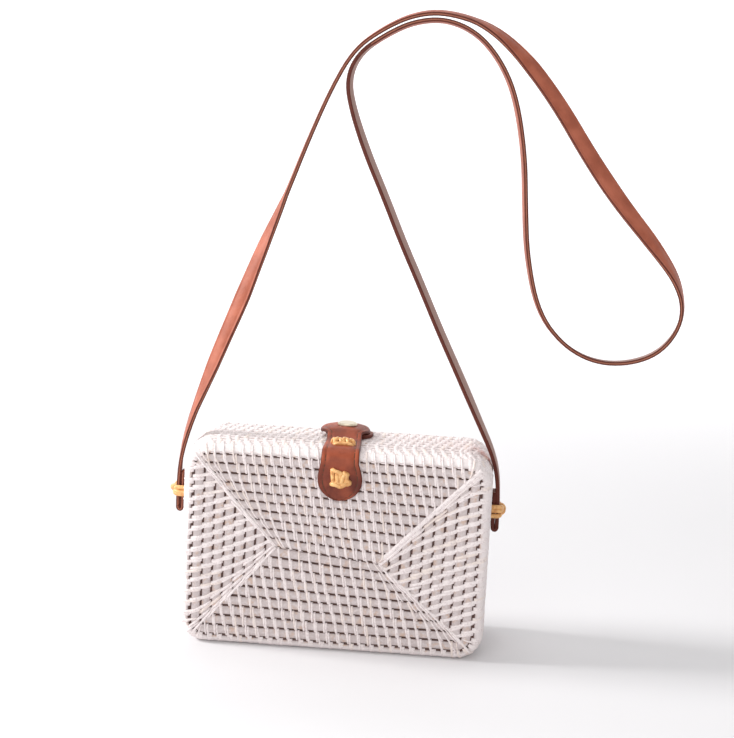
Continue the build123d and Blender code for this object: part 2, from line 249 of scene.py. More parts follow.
leather_edge = Finish("leather_edge", 0.5, Specular_IOR_Level=0.25)
leather_edge.color(leather_edge.mix(
    leather_edge.noise(leather_edge.place(), 300.0), (0.075, 0.013, 0.008), (0.14, 0.03, 0.016)
))

bond_line = Finish("bond_line", 0.7)
bond_line.color(bond_line.mix(
    bond_line.noise(bond_line.place(), 300.0), (0.31, 0.10, 0.055), (0.42, 0.16, 0.09)
))

flesh_side = Finish("flesh_side", 0.8)
flesh_side.color(flesh_side.mix(
    flesh_side.noise(flesh_side.place(), 500.0), (0.34, 0.21, 0.18), (0.42, 0.27, 0.23)
))

# The strap: two bonded layers of leather, 11 mm wide. It leaves the fold at the bag's left side, goes over the
# place where it was held, hangs in a long loop to the right, comes back over that place and runs down to the
# fold at the right side. Most of the way it is seen on edge, and it turns its face to the front in two places.
strap_width = 11.0
strap_thickness = 2.4
strap_y = 1.0
wall_x = 96.0
left_standoff = 3.4
right_standoff = 0.5
fold_slit = 0.3
fold_height = 78.8
doubled = 2 * strap_thickness + fold_slit
left_outer = -(wall_x + left_standoff + doubled - strap_thickness / 2)
right_outer = wall_x + right_standoff + doubled - strap_thickness / 2
strap_route = [
    (left_outer, fold_height), (left_outer - 0.7, 98), (-102, 117), (-96.5, 138), (-88.5, 160), (-78.5, 187),
    (-68, 213.5), (-56, 247), (-42.5, 280.5), (-31, 313), (-17.5, 347), (-4.5, 371.5), (13, 385), (31, 394),
    (50, 396.5), (76, 390), (99, 372), (121.5, 345), (142, 314.5), (163, 287), (187, 260.5), (203, 239),
    (207, 217), (195.5, 197), (176, 188), (154, 187.5), (134, 197), (117, 217), (108, 251), (105, 281),
    (102.5, 313), (95, 348), (84, 369.5), (69, 385), (50, 392), (31, 389.5), (14.5, 381), (-1, 369.5),
    (-7.5, 354), (-4, 336), (6.5, 309), (18.5, 284), (30.5, 257), (44, 229.5), (57, 202), (71, 174.5),
    (84.5, 147), (97.4, 121), (right_outer, 99), (right_outer, fold_height),
]
# How far the face is turned to the front, in degrees, at each of these shares of the strap's length
strap_turns = [
    (0.0, 0), (0.02, 6), (0.05, 20), (0.075, 46), (0.11, 58), (0.135, 40), (0.165, 8), (0.24, 3), (0.30, 10),
    (0.335, 50), (0.40, 62), (0.435, 46), (0.465, 10), (0.50, 5), (0.66, 8), (0.75, 4), (0.80, 12), (0.93, 12),
    (0.97, 4), (1.0, 0),
]

route_data = bpy.data.curves.new("strap_route", "CURVE")
route_data.dimensions = "3D"
route_data.resolution_u = 6
spline = route_data.splines.new("NURBS")
spline.points.add(len(strap_route) - 1)
for point, (x, z) in zip(spline.points, strap_route):
    point.co = (x * MM, strap_y * MM, z * MM, 1)
spline.order_u = 3
spline.use_endpoint_u = True
route_object = bpy.data.objects.new("strap_route", route_data)
bpy.context.collection.objects.link(route_object)
bpy.context.view_layer.update()
route_mesh = bpy.data.meshes.new_from_object(route_object.evaluated_get(bpy.context.evaluated_depsgraph_get()))
strap_line = [vert.co.copy() for vert in route_mesh.vertices]
bpy.data.objects.remove(route_object)
strap_marks = [0.0]
for before, after in zip(strap_line, strap_line[1:]):
    strap_marks.append(strap_marks[-1] + (after - before).length)
strap_length = strap_marks[-1]


def between(table, share):
    """A value from a list of pairs, with straight lines between them."""
    for (low, first), (high, second) in zip(table, table[1:]):
        if share <= high:
            return first + (second - first) * (share - low) / (high - low)
    return table[-1][1]


# Section of the strap, from the middle of its face round both edges: distance across, height, and its finish
half_width, half_thick = strap_width / 2, strap_thickness / 2
strap_section = [
    (-half_width + 0.5, half_thick), (-half_width + 1.5, half_thick), (-half_width + 1.8, half_thick - 0.16),
    (-half_width + 2.1, half_thick), (0, half_thick + 0.12), (half_width - 2.1, half_thick),
    (half_width - 1.8, half_thick - 0.16), (half_width - 1.5, half_thick), (half_width - 0.5, half_thick),
    (half_width, half_thick - 0.45), (half_width, 0.26), (half_width - 0.14, 0), (half_width, -0.26),
    (half_width, -half_thick + 0.45), (half_width - 0.5, -half_thick), (0, -half_thick),
    (-half_width + 0.5, -half_thick), (-half_width, -half_thick + 0.45), (-half_width, -0.26),
    (-half_width + 0.14, 0), (-half_width, 0.26), (-half_width, half_thick - 0.45),
]


def strap_finish(i, turned_over):
    """Which finish a face between two points of the section has: face, edge, flesh side or bond line."""
    if i < 8:
        return 2 if turned_over else 0
    if i in (10, 11, 18, 19):
        return 1 if turned_over else 3
    if i in (14, 15):
        return 0 if turned_over else 2
    return 1


def band(name, line, turn_at, over_from=1e6):
    """A strap piece: the section swept along a line in the plane of the front, turned about it on the way."""
    def place(i, j):
        ahead = line[min(j + 1, len(line) - 1)] - line[max(j - 1, 0)]
        ahead.normalize()
        outward = Vector((-ahead.z, 0, ahead.x))
        turn = radians(turn_at(j))
        across_way = cos(turn) * Vector((0, 1, 0)) + sin(turn) * outward
        face_way = cos(turn) * outward - sin(turn) * Vector((0, 1, 0))
        across, height = strap_section[i % len(strap_section)]
        return line[j] + (across * across_way + height * face_way) * MM

    bm = placed_grid(len(strap_section), len(line) - 1, place)
    bm.faces.ensure_lookup_table()
    around = len(strap_section)
    for index, face in enumerate(bm.faces):
        face.material_index = strap_finish(index % around, index // around > over_from)
    bmesh.ops.remove_doubles(bm, verts=bm.verts, dist=1e-7)
    bmesh.ops.holes_fill(bm, edges=bm.edges, sides=0)
    bmesh.ops.recalc_face_normals(bm, faces=bm.faces)
    return piece(name, bm, strap_leather, leather_edge, flesh_side, bond_line)


turned_over_from = 0.745
strap = band(
    "shoulder_strap", strap_line, lambda j: between(strap_turns, strap_marks[j] / strap_length),
    turned_over_from * len(strap_line),
)
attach(strap, "back")
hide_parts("strap")

# Each end of the strap is rolled round on itself and goes back up between the outer layer and the wall.
fold_drop = 1.6 * 1.15
fold_end = 103.0 - 1.5
for side, name, outer, standoff, over_from in (
    (-1, "strap_fold_left", left_outer, left_standoff, 1e6),
    (1, "strap_fold_right", right_outer, right_standoff, -1),
):
    inner = side * (wall_x + standoff + strap_thickness / 2)
    middle = (inner + outer) / 2
    line = []
    for step in range(0, 13):
        angle = pi * step / 12
        x = middle + (outer - middle) * cos(angle)
        z = fold_height - fold_drop * sin(angle)
        line.append(Vector((x, strap_y, z)) * MM)
    for step in range(1, 9):
        z = fold_height + (fold_end - fold_height) * step / 8
        line.append(Vector((inner, strap_y, z)) * MM)
    if side > 0:
        line.reverse()
    end = band(name, line, lambda j: 0, over_from)
    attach(end, "back")

# The woven body: two trays of coiled rattan. Each row is a thick core, and thin strips are sewn over it and
# into the row before. The rows run round the walls, round the edge and in mitred rings on the face, to a
# short middle line that lies a little lower on the right. The whole is washed white.
# In the core, the grooves between rows are painted dark as shade, and the crests of the edge rows and outer
# walls are painted lighter, as painted light.
bag_width, bag_height, bag_depth = 190.0, 128.0, 70.0
corner_radius, side_bulge, wall, ridge_height = 16.0, 1.0, 4.6, 1.5
depth_rows, front_rows, face_rows = 11, 4, 9
eye_left, eye_right, eye_height, eye_slope = -36.0, 28.0, 62.2, -0.098
rim_gap, hinge_height, relief = 0.3, 3.0, radians(47.5)
# On the right, top, left and bottom side of the face: its rows, and its stitches' spacing, shift from row to
# row, half width, and how far their ends lie beside the stitch of the next row
side_rows = (9, 10, 8, 9)
side_spacing, side_shift = (6.4, 5.87, 6.6, 6.4), (0.45, 0.35, 0.40, 0.28)
side_half, side_beside = (1.15, 0.66, 1.15, 0.70), (1.25, 1.12, 1.25, 1.05)
# The same on the walls, and how flat stitches lie there; how near a mitre the stitches of a face fan out
wall_half, wall_beside, wall_crown, fan_reach = 1.42, 1.2, 0.45, 17
unevenness, uneven_over, table_clearance = 0.35, 17.0, 0.05
half_depth = bag_depth / 2
row_pitch = bag_depth / depth_rows
edge_radius = row_pitch
seam_y = -half_depth + front_rows * row_pitch

core = Finish("whitewashed_core", 0.62)
core_place = core.place()
valley = core.attribute("valley")
patch = core.noise(core_place, 170.0, 1.0)
whitewash_and_crest_light = core.mix(patch.step(0.52, 0.72), (0.55, 0.47, 0.46), (0.58, 0.42, 0.34))
whitewash_and_crest_light = core.mix(core.noise(core_place, 700.0).step(0.4, 0.7), whitewash_and_crest_light, (0.64, 0.565, 0.56))
# Painted light: the crests of the edge rows and outer walls are coloured lighter than the face.
whitewash_and_crest_light = core.mix(valley.step(-0.45, 0.1), (0.84, 0.765, 0.755), whitewash_and_crest_light)
# Painted shade: the grooves between the rows are coloured near black.
core.color(core.mix(valley.step(0.36, 0.72), whitewash_and_crest_light, (0.095, 0.047, 0.038)))
core.bump(core.noise(core.place(), 1400.0), 0.0002, 0.5)

strand = Finish("whitewashed_strand", 0.5, Specular_IOR_Level=0.4)
tone = strand.attribute("tone")
strand_wash = strand.mix(tone.step(0.75, 1.0), (0.87, 0.79, 0.78), (0.84, 0.73, 0.67))
strand_noise = strand.noise(strand.place(), 800.0)
strand.color(strand.mix(strand_noise.step(0.45, 0.75), strand_wash, (0.70, 0.605, 0.60)))
strand.bump(strand_noise, 0.00015, 0.5)


def wobble(point):
    """The small unevenness of work done by hand, in millimetres."""
    return point + unevenness * noise.noise_vector(point / uneven_over)


def at_rest(point, inward):
    """Keeps a point off the table, and behind the slope that lets the trays swing apart at the bottom."""
    point = Vector((point.x, point.y, max(point.z, table_clearance)))
    if point.z < hinge_height:
        limit = seam_y - inward * (rim_gap / 2 + (hinge_height - point.z) * tan(relief))
        point.y = min(point.y, limit) if inward > 0 else max(point.y, limit)
    return point


def face_ring(t):
    """Left, right, bottom and top of a ring of a face: t is 0 at its outer groove and 1 at its middle line."""
    half_width, bottom, top = bag_width / 2 - edge_radius, 6.0, bag_height - 5.4
    return (
        -half_width + (eye_left + half_width) * t, half_width + (eye_right - half_width) * t,
        bottom + (eye_height - bottom) * t, top + (eye_height - top) * t,
    )


def tilted(x, z, t):
    """A point of a face, lowered on the right as its row comes near the middle line."""
    return Vector((x, 0, z + eye_slope * t * t * (x - (eye_left + eye_right) / 2)))


def wall_outline(y, inset):
    """The body's outline at a depth, inside its crests by an inset, with its corner radius."""
    half = bag_width / 2 + side_bulge * (1 - (y / half_depth) ** 2) - inset
    return -half, half, inset, bag_height - inset, max(corner_radius - inset, 0.5)


corner_steps, side_steps = 5, (16, 24, 16, 24)
# The side of the face that each point of a loop belongs to: 0 right, 1 top, 2 left, 3 bottom
loop_sides = []
for number, steps in enumerate(side_steps):
    loop_sides += [(number - 1) % 4] * 3 + [number] * (2 + steps)


def loop_points(left, right, bottom, top, radius):
    """Points round a rounded rectangle: as many on every loop, so that loops can be joined."""
    centers = [
        (right - radius, bottom + radius, -90), (right - radius, top - radius, 0),
        (left + radius, top - radius, 90), (left + radius, bottom + radius, 180),
    ]
    turns = []
    for x, z, start in centers:
        angles = [radians(start + 90 * step / corner_steps) for step in range(corner_steps + 1)]
        turns.append([(x + radius * cos(a), z + radius * sin(a)) for a in angles])
    points = []
    for number, steps in enumerate(side_steps):
        points += turns[number]
        (x0, z0), (x1, z1) = turns[number][-1], turns[(number + 1) % 4][0]
        points += [(x0 + (x1 - x0) * s / steps, z0 + (z1 - z0) * s / steps) for s in range(1, steps)]
    return points


def ridge_depth(share):
    """How deep the surface lies below the crest, at a share of the way across a row."""
    across = min(abs(2 * share - 1) * 1.13, 1.0)
    return ridge_height * (1 - sqrt(max(1 - across ** 2.4, 0)))


ridge_shares = (0.0, 0.06, 0.11, 0.2, 0.35, 0.5, 0.65, 0.8, 0.89, 0.94)
mark_shares = (0, 0.07, 0.16, 0.5, 0.84, 0.93)
face_marks = sorted(
    {(row + share) / rows for rows in (8, 9, 10) for row in range(rows) for share in mark_shares}
)


def tray_loops(inward, rows):
    """Loops of a tray from the middle line, over the face and the wall to the rim and back inside."""
    face_y = -inward * half_depth
    loops = []

    def add_face_loop(t, base, height):
        radius = max(corner_radius - edge_radius - t * face_rows * row_pitch, 0.02)
        left, right, bottom, top = face_ring(t)
        ring = loop_points(left, right, bottom, top, min(radius, (top - bottom) / 2))
        points, dark = [], []
        for (x, z), side in zip(ring, loop_sides):
            depth = ridge_depth(t * side_rows[side] % 1.0)
            point = tilted(x, z, t)
            point.y = face_y + inward * (base + height * depth)
            points.append(point)
            dark.append(depth / ridge_height)
        loops.append((points, dark))

    def add_loop(outline, depth, dark):
        ring = loop_points(*outline)
        loops.append(([Vector((x, face_y + inward * depth, z)) for x, z in ring], [dark] * len(ring)))

    # Each loop carries a share of painted shade: up to 1 in a groove, which is coloured near black, and below
    # 0 on the crests of the edge rows and outer walls, which are coloured lighter.
    for t in (1.0, *face_marks[::-1]):
        add_face_loop(t, 0, 1)
    for angle in (10, 18, 28, 40, 55, 70, 82):
        depth = edge_radius * (1 - cos(radians(angle)))
        inset = edge_radius * (1 - sin(radians(angle)))
        groove = ridge_height * 0.8 if angle == 10 else 0
        dark = 0.9 if groove else max(-0.5, 0.2 - angle / 60)
        add_loop(wall_outline(face_y + inward * depth, inset), depth + groove, dark)
    for row in range(1, rows):
        for share in ridge_shares:
            depth = (row + share) * row_pitch
            below = ridge_depth(share)
            add_loop(wall_outline(face_y + inward * depth, below), depth, 1.5 * below / ridge_height - 0.5)
    rim_depth = rows * row_pitch - rim_gap / 2
    for inset in (ridge_height * 0.6, (ridge_height + wall) / 2, wall):
        add_loop(wall_outline(face_y + inward * rim_depth, inset), rim_depth, 0.3)
    for row in range(rows - 1, 0, -1):
        for share in ridge_shares[::-1]:
            depth = (row + share) * row_pitch - rim_gap
            if depth > wall + 1:
                inset = wall + 0.5 * ridge_depth(share)
                dark = ridge_depth(share) / ridge_height
                add_loop(wall_outline(face_y + inward * depth, inset), depth, dark)
    for t in face_marks[2::3]:
        if t > 0.06:
            add_face_loop(t, wall, -0.5)
    add_face_loop(1.0, wall, -0.5)
    return loops


def tray_core(name, inward, rows):
    loops = tray_loops(inward, rows)
    around = len(loops[0][0])

    def place(i, j):
        return at_rest(wobble(loops[j][0][i % around]), inward) * MM

    bm = placed_grid(around, len(loops) - 1, place)
    dark = bm.verts.layers.float.new("valley")
    for index, vert in enumerate(bm.verts):
        vert[dark] = loops[index // (around + 1)][1][index % (around + 1) % around]
    bmesh.ops.remove_doubles(bm, verts=bm.verts, dist=2e-6)
    bmesh.ops.holes_fill(bm, edges=bm.edges, sides=0)
    bmesh.ops.recalc_face_normals(bm, faces=bm.faces)
    return piece(name, bm, core)


# One stitch, before it is laid: a strip that is crowned across. It starts down in the groove one row away,
# passes over the groove that it ties and ends down in the groove one row further.
stitch_across = ((-1.0, 0.55), (-0.72, -0.24), (0.0, -0.5), (0.72, -0.24), (1.0, 0.55))
stitch_along = (-1.0, -0.93, -0.78, -0.5, -0.22, -0.08, 0.08, 0.22, 0.5, 0.8, 0.98, 1.1)
stitch_sink = (1.3, 0.6, 0.0, -0.12, 0.02, 0.34, 0.34, 0.02, -0.12, 0.05, 0.5, 1.4)
template = placed_grid(len(stitch_across) - 1, len(stitch_along) - 1, lambda i, j: Vector((i, j, 0)))
template_verts = [(round(v.co.x), round(v.co.y)) for v in template.verts]
template_faces = [[v.index for v in face.verts] for face in template.faces]
template.free()


def wall_base(side, along):
    """A point on the inner outline of the edge row, on one of its sides."""
    half, bottom, top = bag_width / 2 - edge_radius, edge_radius, bag_height - edge_radius
    x, z = ((half, along), (-along, top), (-half, -along), (along, bottom))[side]
    return Vector((x, 0, z))


side_end = (bag_height - edge_radius, bag_width / 2 - edge_radius, -edge_radius, bag_width / 2 - edge_radius)
side_ways = (Vector((0, 0, 1)), Vector((-1, 0, 0)), Vector((0, 0, -1)), Vector((1, 0, 0)))
side_normals = (Vector((1, 0, 0)), Vector((0, 0, 1)), Vector((-1, 0, 0)), Vector((0, 0, -1)))


def side_span(side, t):
    """Where a side of a face ring starts and ends, measured along it."""
    left, right, bottom, top = face_ring(t)
    return ((bottom, top), (-right, -left), (-top, -bottom), (left, right))[side]


def face_point(side, t, along):
    """A point of a row on a side of the face. Past the mitre it stays on it."""
    left, right, bottom, top = face_ring(t)
    low, high = side_span(side, t)
    along = min(max(along, min(low + 0.5, (low + high) / 2)), max(high - 0.5, (low + high) / 2))
    x, z = ((right, along), (-along, top), (left, -along), (along, bottom))[side]
    return tilted(x, z, t)


def tray_stitches(name, inward, rows, seed):
    """All stitches of a tray: on each side of the face from the middle line out, then round the walls."""
    face_y = -inward * half_depth
    chance = random.Random(seed)
    verts, faces, tones = [], [], []

    def lay(surface, half, crown=1.0):
        first, tone_value = len(verts), chance.random()
        for i, j in template_verts:
            across, height = stitch_across[i]
            point = surface(across * half, stitch_along[j], crown * height + stitch_sink[j])
            verts.append(at_rest(wobble(point), inward) * MM)
            tones.append(tone_value)
        faces.extend([first + index for index in face] for face in template_faces)

    def over_edge(base, normal, row, sink, start):
        """A point of a stitch on the edge row or a wall, from its place on the inner outline of the edge."""
        turned = start + (pi / 2 - start) * min(row, 1)
        place = base + normal * ((edge_radius - sink) * sin(turned))
        depth = edge_radius - (edge_radius - sink) * cos(turned) + max(row - 1, 0) * row_pitch
        place.y = face_y + inward * depth
        place.x += side_bulge * (1 - (place.y / half_depth) ** 2) * normal.x
        return place

    for side in range(4):
        way, normal = side_ways[side], side_normals[side]
        spacing, shift = side_spacing[side], side_shift[side]
        start = (0, 0.151, 0, 0.056)[side]
        mitre_lean = (side_span(side, 0)[1] - side_span(side, 1)[1]) / side_rows[side]
        for groove in range(-side_rows[side] + (side == 3), rows):
            low, high = side_span(side, max(-groove, 0) / side_rows[side])
            reach = corner_radius - edge_radius if groove >= 0 else 0.3
            wide = wall_half if groove > 0 else side_half[side]
            beside = wall_beside if groove > 0 else side_beside[side]
            first = int((low + reach) / spacing - shift * groove) - 2
            for number in range(first, first + 40):
                along = spacing * (number + shift * groove) + 0.35 * chance.uniform(-1, 1)
                if not low + reach < along < high - reach:
                    continue
                half = wide + 0.1 * chance.uniform(-1, 1)
                lean = shift * spacing - beside + 0.35 * chance.uniform(-1, 1)
                if groove < 0:
                    lean += (mitre_lean - lean) * max(1 - (high - along) / fan_reach, 0)

                def surface(aside, across, sink):
                    row = groove + across
                    if row <= 0:
                        place = face_point(side, min(-row / side_rows[side], 1), along + lean * across)
                        place += way * aside
                        place.y = face_y + inward * sink
                        return place
                    if groove == rows - 1:
                        row, sink = min(row, rows - 0.05), min(sink, 0.9)
                    base = wall_base(side, along + lean * across + aside)
                    return over_edge(base, normal, row, sink, start)

                lay(surface, half, wall_crown if groove > 0 else 1.0)
    # Round the four corners of the edge and the walls the stitches fan out
    for corner in range(4):
        center = wall_base(corner, 0)
        center = center + side_ways[corner] * (side_end[corner] - corner_radius + edge_radius)
        center -= side_normals[corner] * (corner_radius - edge_radius)
        for groove in range(rows):
            count, wide = (3, 0.9) if groove == 0 else (4, 1.4)
            for number in range(count):
                turned = radians(90) * (number + 0.3 + 0.35 * groove % 0.7) / count

                def surface(aside, across, sink):
                    angle = turned + (aside + 1.0 * across) / (corner_radius - edge_radius * 0.5)
                    normal = side_normals[corner] * cos(angle) + side_ways[corner] * sin(angle)
                    row = groove + across
                    radius = corner_radius - edge_radius
                    if row <= 0:
                        place = center + normal * (radius + row * 5.6)
                        place.y = face_y + inward * sink
                        return place
                    if groove == rows - 1:
                        row, sink = min(row, rows - 0.05), min(sink, 0.9)
                    return over_edge(center + normal * radius, normal, row, sink, 0)

                lay(surface, wide + 0.1 * chance.uniform(-1, 1), wall_crown if groove > 0 else 1.0)
    # Along the mitres longer strips lie over the ends of the stitches: one clear ridge at the upper right, and
    # elsewhere thin ones, one after the other. Each has its first and last share, half width and two offsets.
    mitres = [
        (1, 3, ((0.98, 0.0, 1.45, 0.3, 0.0), (0.42, 0.04, 0.9, -2.0, -1.6), (0.98, 0.62, 0.9, -1.5, -1.9))),
        (0, 3, ((0.0, 0.36, 0.85, 0.3, 0.6), (0.12, 0.52, 0.8, -1.0, 0.4), (0.36, 0.76, 0.85, 0.9, 0.1),
                (0.48, 0.8, 0.8, 2.4, 0.8), (0.66, 0.99, 0.8, 0.6, 0.2))),
        (0, 2, ((1.0, 0.74, 0.75, 0.1, 1.2), (0.86, 0.58, 0.7, 0.0, 1.6), (0.68, 0.4, 0.75, 0.0, 1.4),
                (0.46, 0.2, 0.7, 0.2, 1.5), (0.28, 0.04, 0.75, -0.2, 1.0))),
        (1, 2, ((1.0, 0.8, 0.7, 0.2, -0.9), (0.88, 0.64, 0.7, 0.8, -0.8), (0.7, 0.46, 0.75, 0.7, -0.9),
                (0.52, 0.28, 0.7, 0.8, -0.8), (0.34, 0.1, 0.75, 0.7, -0.9), (0.18, -0.02, 0.75, 0.5, -0.6))),
    ]
    for across_side, level, strips in mitres:
        for first_t, last_t, half, first_aside, last_aside in strips:

            def mitre(aside, across, sink):
                share = (across + 1) / 2
                t = max(first_t + (last_t - first_t) * share, 0)
                ring, inner = face_ring(t), face_ring(1)
                place = tilted(ring[across_side], ring[level], t)
                run = Vector((inner[across_side] - ring[across_side] + 1e-6, 0, inner[level] - ring[level]))
                run.normalize()
                offset = aside + first_aside + (last_aside - first_aside) * share
                place += Vector((run.z, 0, -run.x)) * offset
                place.y = face_y + inward * (min(sink, 0.7) - 0.3)
                return place

            lay(mitre, half)

    mesh = bpy.data.meshes.new(name)
    mesh.from_pydata(verts, [], faces)
    mesh.attributes.new("tone", "FLOAT", "POINT").data.foreach_set("value", tones)
    bm = bmesh.new()
    bm.from_mesh(mesh)
    bmesh.ops.recalc_face_normals(bm, faces=bm.faces)
    bpy.data.meshes.remove(mesh)
    return piece(name, bm, strand)


for body, inward, rows, seed in (("front", 1, front_rows, 11), ("back", -1, depth_rows - front_rows, 12)):
    weave = tray_core(f"{body}_tray_rows", inward, rows)
    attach(weave, body)
    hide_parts(f"{body}_shell")
    stitches = tray_stitches(f"{body}_tray_stitches", inward, rows, seed)
    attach(stitches, body)

# The closure: one strip of leather, tied to the front tray by two rattan knots. It bends over the edge of the
# bag, and its round head snaps onto the back tab. The side edges are creased, 3 mm in.
leather_thickness, tab_center, seat = 2.0, 1.5, 0.3
tab_end_height, tab_end_radius, tab_half_width = 111.5, 13.2, 11.8
head_radius, head_y, flap_under, snap_y, socket_radius = 15.0, 13.5, 133.3, 14.0, 5.6
waist_height, bend_radius, top_level = bag_height - edge_radius, edge_radius + seat, bag_height + seat
bend_y = half_depth - edge_radius
crease_depth, lower_extra, head_extra, head_shift, head_droop = 0.28, 0.6, 0.8, -1.0, 2.6


def leather_section(half):
    """Points round a leather strip: distance across, and height."""
    scale, half = min(half / 6, 1), max(half, 6)
    top = [-half + 0.45, -half + 2.4, -half + 2.9, -half + 3.4, -half / 2, 0]
    top += [-across for across in top[-2::-1]]
    heights = [0, 0, -crease_depth, 0, 0.04, 0.08, 0.04, 0, -crease_depth, 0, 0]
    upper = [(across * scale, leather_thickness + height) for across, height in zip(top, heights)]
    edge = [(half, leather_thickness - 0.4), (half, 0.4), (half - 0.4, 0)]
    lower = [(0, 0)]
    other = [(-across, height) for across, height in edge[::-1]]
    return upper + [(across * scale, height) for across, height in edge + lower + other]


def leather_strip(name, stations):
    """A strip of leather along stations: place of the middle, way out, half width, droop of its sides."""
    count = len(leather_section(6))

    def place(i, j):
        middle, out, half, droop = stations[j]
        across, height = leather_section(half)[i % count]
        point = middle + Vector((tab_center + across, 0, 0)) + out * height
        point.z -= droop * (across / head_radius) ** 2
        return point * MM

    bm = placed_grid(count, len(stations) - 1, place)
    pressed = bm.verts.layers.float.new("crease")
    for index, vert in enumerate(bm.verts):
        vert[pressed] = 1.0 if index % (count + 1) in (2, 8) else 0.0
    bm.faces.ensure_lookup_table()
    for index, face in enumerate(bm.faces):
        i = index % count
        face.material_index = 0 if i < 10 else 1 if i in (10, 11, 12, 15, 16, 17) else 2
    bmesh.ops.remove_doubles(bm, verts=bm.verts, dist=2e-6)
    bmesh.ops.holes_fill(bm, edges=bm.edges, sides=0)
    bmesh.ops.recalc_face_normals(bm, faces=bm.faces)
    return piece(name, bm, leather, leather_edge, flesh_side)


def bend_stations(side):
    """Stations of a tab from its round lower end, up a face and round the edge row, to the flat of the top."""
    stations, outward, lower_shift = [], Vector((0, side, 0)), Vector((lower_extra, 0, 0))
    face_y = side * (half_depth + seat)
    for step in range(11):
        angle = radians(2 + 8.8 * step)
        middle = Vector((0, face_y, tab_end_height - tab_end_radius * cos(angle)))
        stations.append((middle + lower_shift, outward, (tab_end_radius + lower_extra) * sin(angle), 0))
    for step in range(1, 5):
        share = step / 5
        half = tab_end_radius + lower_extra + (tab_half_width - tab_end_radius - lower_extra) * share ** 1.5
        middle = Vector((0, face_y, tab_end_height + (waist_height - tab_end_height) * share))
        stations.append((middle + lower_shift * (1 - share), outward, half, 0))
    for step in range(9):
        angle = radians(90 * step / 8)
        out = Vector((0, side * cos(angle), sin(angle)))
        middle = Vector((0, side * bend_y, waist_height)) + out * bend_radius
        stations.append((middle, out, tab_half_width - 0.3 * step / 8, 0))
    return stations


def head_half(y, radius):
    """Half width of the closure near its round head."""
    reach = radius ** 2 - (y - head_y) ** 2
    return max(sqrt(max(reach, 0)), tab_half_width - 0.8 if y < head_y else 0.2)


closure_stations = bend_stations(-1)
flap_start, rise_end, head_end = seam_y + 0.3, snap_y - socket_radius, head_y + head_radius + head_extra
for step in range(1, 9):
    y = -bend_y + (flap_start + bend_y) * step / 8
    half = tab_half_width - 0.3 - 0.5 * step / 8
    closure_stations.append((Vector((0, y, top_level)), Vector((0, 0, 1)), half, 0))
for step in range(1, 9):
    share = step / 8
    rise = share * share * (3 - 2 * share)
    y = flap_start + (rise_end - flap_start) * share
    slope = (flap_under - top_level) / (rise_end - flap_start) * 6 * share * (1 - share)
    out = Vector((0, -slope, 1)).normalized()
    middle = Vector((0, y, top_level + (flap_under - top_level) * rise))
    middle.x += head_shift * share
    half = head_half(y, head_radius + head_extra * share)
    closure_stations.append((middle, out, half, head_droop * share ** 2))
for step in range(1, 15):
    y = rise_end + (head_end - rise_end) * sin(radians(90 * step / 14))
    beyond = max(y - snap_y - 4, 0) / 10
    middle = Vector((head_shift, y, flap_under - 1.9 * beyond ** 2))
    out = Vector((0, 0.38 * beyond, 1)).normalized()
    closure_stations.append((middle, out, head_half(y, head_radius + head_extra), head_droop))
closure = leather_strip("closure_leather", closure_stations)
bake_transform(closure)
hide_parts("closure_tab", "closure_flap")

# The back tab: the same leather, tied to the back face. Its head carries the stud and peeks out on the right.
back_head_radius, back_head_y, back_head_shift = 15.5, 16.5, 2.0
back_stations = bend_stations(1)
back_head_end = back_head_y - back_head_radius
for step in range(1, 17):
    share = step / 16
    y = bend_y - (bend_y - back_head_end) * (1 - (1 - share) ** 1.8)
    reach = back_head_radius ** 2 - (y - back_head_y) ** 2
    half = max(sqrt(max(reach, 0)), tab_half_width if y > back_head_y else 0.2)
    half = min(half, tab_half_width + (back_head_radius - tab_half_width) * min(share * 4, 1))
    slide = Vector((back_head_shift * min(share * 2.5, 1), 0, 0))
    back_stations.append((Vector((0, y, top_level)) + slide, Vector((0, 0, 1)), half, 0.0))
back_leather = leather_strip("back_tab_leather", back_stations)
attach(back_leather, "back")
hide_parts("back_tab")

# The knots: natural rattan, wound over the leather through two holes and pulled tight.
natural = Finish("natural_rattan", 0.38, Specular_IOR_Level=0.5)
natural_noise = natural.noise(natural.place(), 420.0, 3.0)
natural.color(natural.mix(natural_noise.step(0.35, 0.72), (0.86, 0.50, 0.20), (0.62, 0.27, 0.08)))
natural.bump(natural.noise(natural.place(), 1200.0), 0.0002, 0.6)


def knot(name, body, origin, right, up, strands):
    """Round strands that arch over a plane. Each has its thickness and points: right, up and out, in mm."""
    right, up = Vector(right), Vector(up)
    out = right.cross(up)
    data = bpy.data.curves.new(name, "CURVE")
    data.dimensions, data.bevel_depth, data.bevel_resolution, data.resolution_u = "3D", MM, 2, 6
    data.use_fill_caps = True
    for radius, points in strands:
        spline = data.splines.new("NURBS")
        spline.points.add(len(points) - 1)
        for point, (x, z, height) in zip(spline.points, points):
            place = Vector(origin) + right * x + up * z + out * height
            point.co = (*(place * MM), 1)
            point.radius = radius
        spline.order_u = 3
        spline.use_endpoint_u = True
    drawn = bpy.data.objects.new(name, data)
    bpy.context.collection.objects.link(drawn)
    bpy.context.view_layer.update()
    mesh = bpy.data.meshes.new_from_object(drawn.evaluated_get(bpy.context.evaluated_depsgraph_get()))
    bpy.data.objects.remove(drawn)
    bm = bmesh.new()
    bm.from_mesh(mesh)
    bmesh.ops.recalc_face_normals(bm, faces=bm.faces)
    made = piece(name, bm, natural)
    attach(made, body)
    return made


def arch(radius, start, end, rise, sag=0.0):
    """One strand over the leather, from a hole or from under another strand to the next."""
    (x0, z0), (x1, z1) = start, end
    middle = ((x0 + x1) / 2, (z0 + z1) / 2 + sag)
    near, far = ((3 * x0 + x1) / 4, (3 * z0 + z1) / 4), ((x0 + 3 * x1) / 4, (z0 + 3 * z1) / 4)
    return radius, [
        (*start, -0.8), (*start, rise * 0.5), (*near, rise), (*middle, rise * 1.1),
        (*far, rise), (*end, rise * 0.5), (*end, -0.8),
    ]


